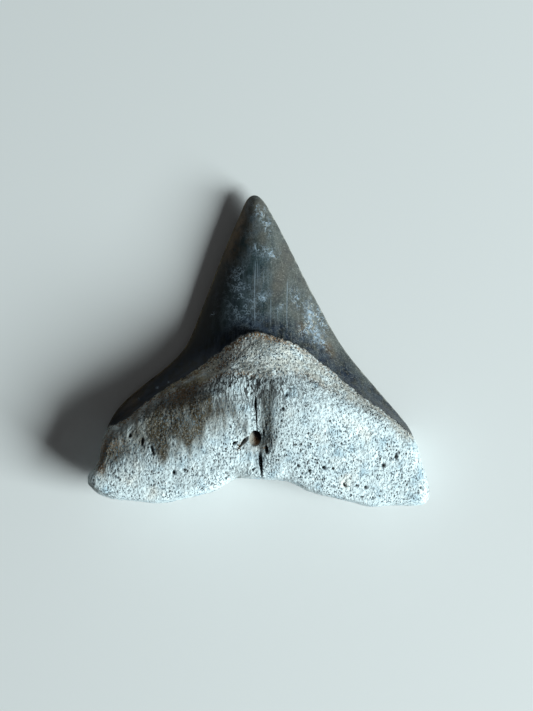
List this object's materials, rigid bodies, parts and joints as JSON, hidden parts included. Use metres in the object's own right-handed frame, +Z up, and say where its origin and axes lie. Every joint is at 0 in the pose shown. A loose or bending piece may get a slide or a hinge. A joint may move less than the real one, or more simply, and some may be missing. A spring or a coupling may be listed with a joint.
{
  "type": "fossil bull shark tooth",
  "caption": "Fossil shark tooth: a dark triangular enamelled crown on a pale, porous, arched root with a nutrient groove, lying flat on its outer face.",
  "frame": {"origin": "under the middle of the tooth's bounding box, on the surface that its flat outer face lies on", "axes": "+X across the tooth from root lobe to root lobe, +Y from the basal margin towards the tip, +Z up out of the surface, out of the inner face"},
  "size_m": [0.026, 0.0238, 0.0062],
  "materials": {
    "fossil": "matt, pitted pale grey root stained ochre along its upper arch; satin dark grey crown with pale mottling"
  },
  "bodies": {
    "root": {"tooth": "fossil"}
  },
  "joints": []
}
